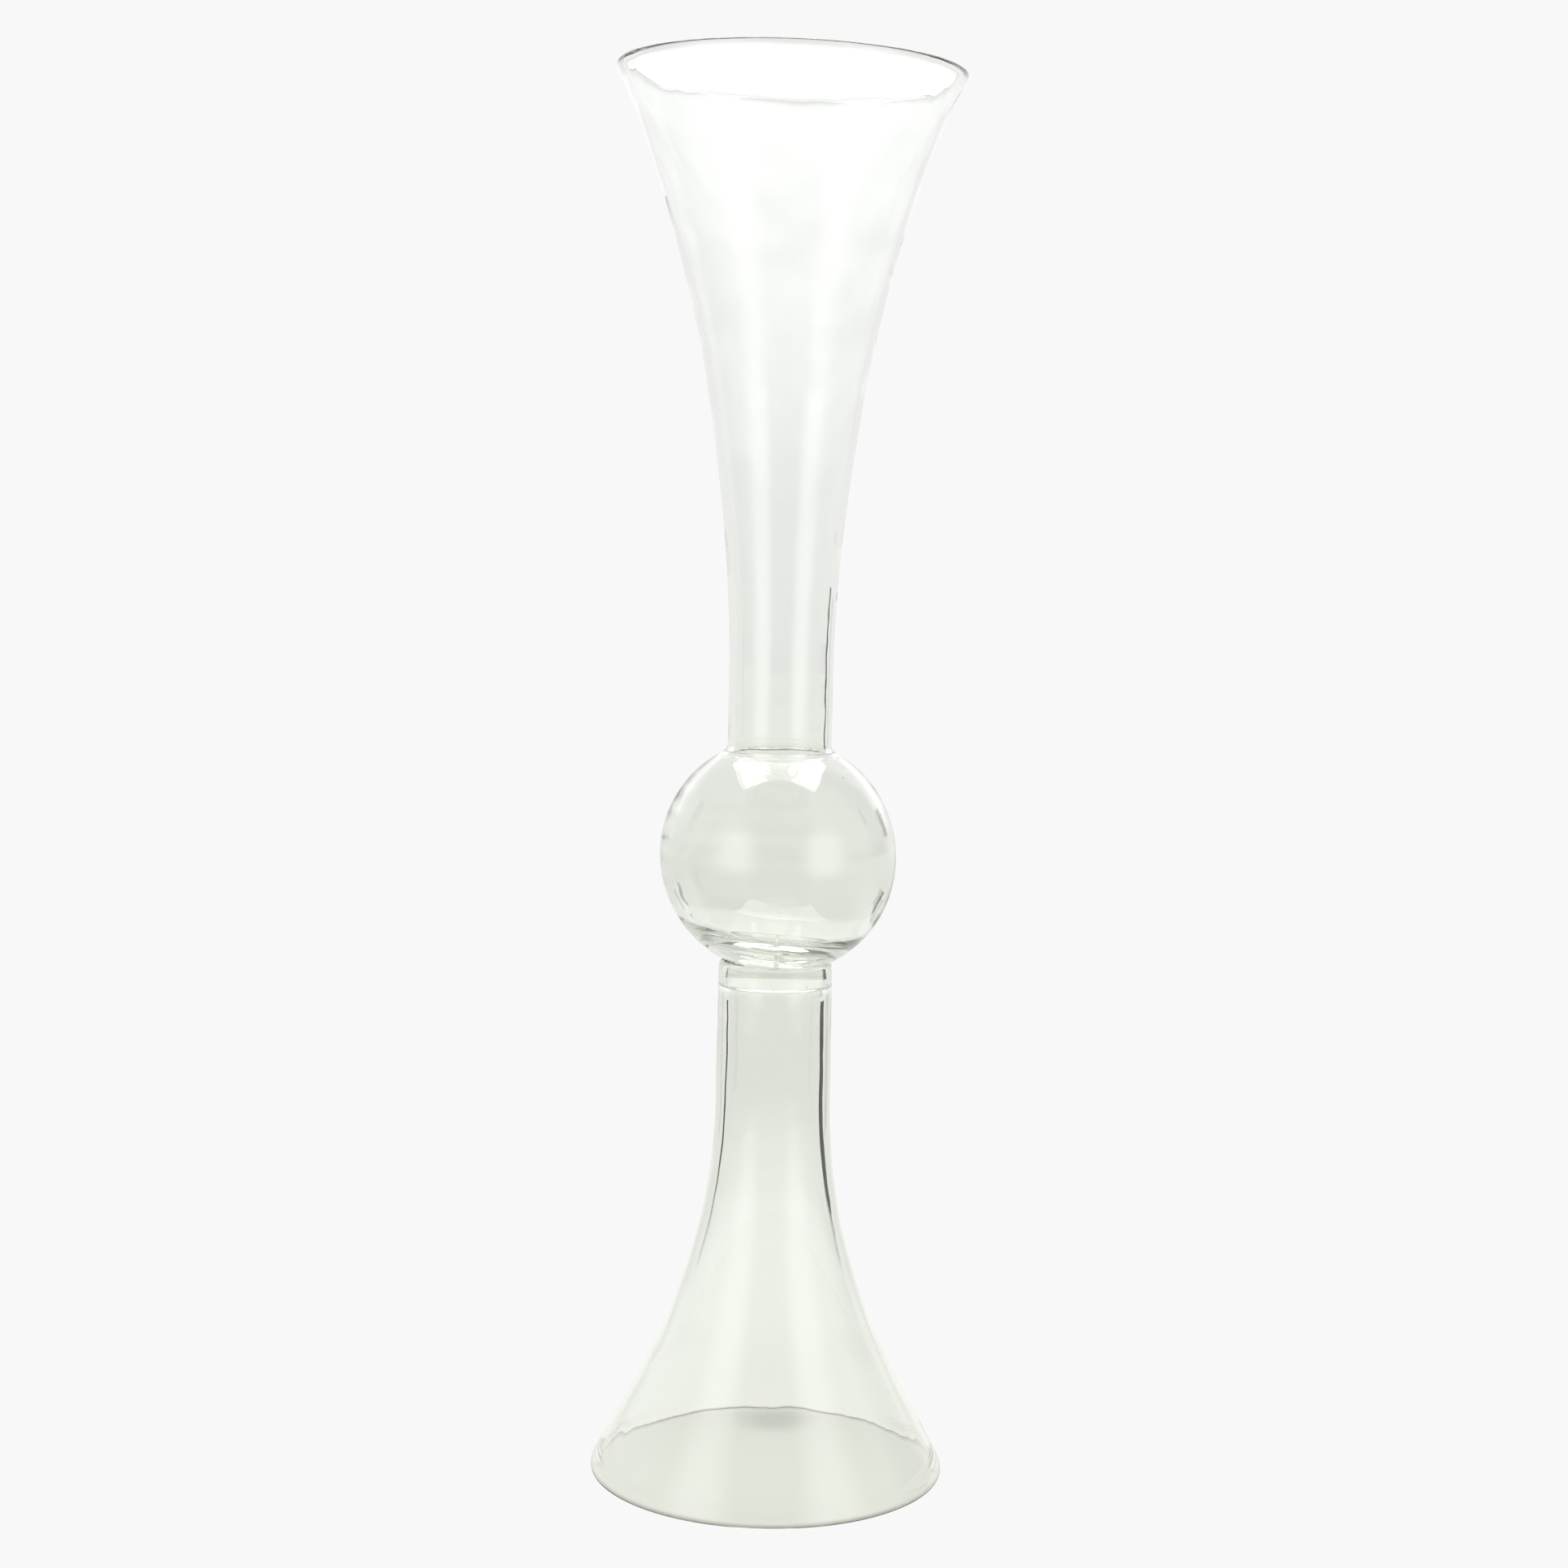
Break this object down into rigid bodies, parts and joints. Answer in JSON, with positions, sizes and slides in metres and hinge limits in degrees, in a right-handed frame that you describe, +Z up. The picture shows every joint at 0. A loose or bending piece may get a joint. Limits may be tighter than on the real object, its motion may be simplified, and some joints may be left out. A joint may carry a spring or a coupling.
{
  "type": "flower vase",
  "caption": "Tall clear-glass flower vase: a flared trumpet on a hollow ball and a bell-shaped foot, usable either way up.",
  "frame": {"origin": "centre of the circle on which the bell-shaped foot's rim stands", "axes": "+Z up along the vase's axis, from the bell's rim to the trumpet's rim; X and Y level, every direction round Z alike"},
  "size_m": [0.1534, 0.1534, 0.6],
  "materials": {
    "trumpet_glass": "clear, blown and fire-polished",
    "ball_glass": "clear, blown, heavy-bottomed",
    "plug_glass": "clear, solid, with fine bubbles round its edge",
    "foot_glass": "clear, blown and fire-polished"
  },
  "bodies": {
    "root": {"trumpet": "trumpet_glass", "ball": "ball_glass", "joining_plug": "plug_glass", "bell_foot": "foot_glass"}
  },
  "joints": []
}
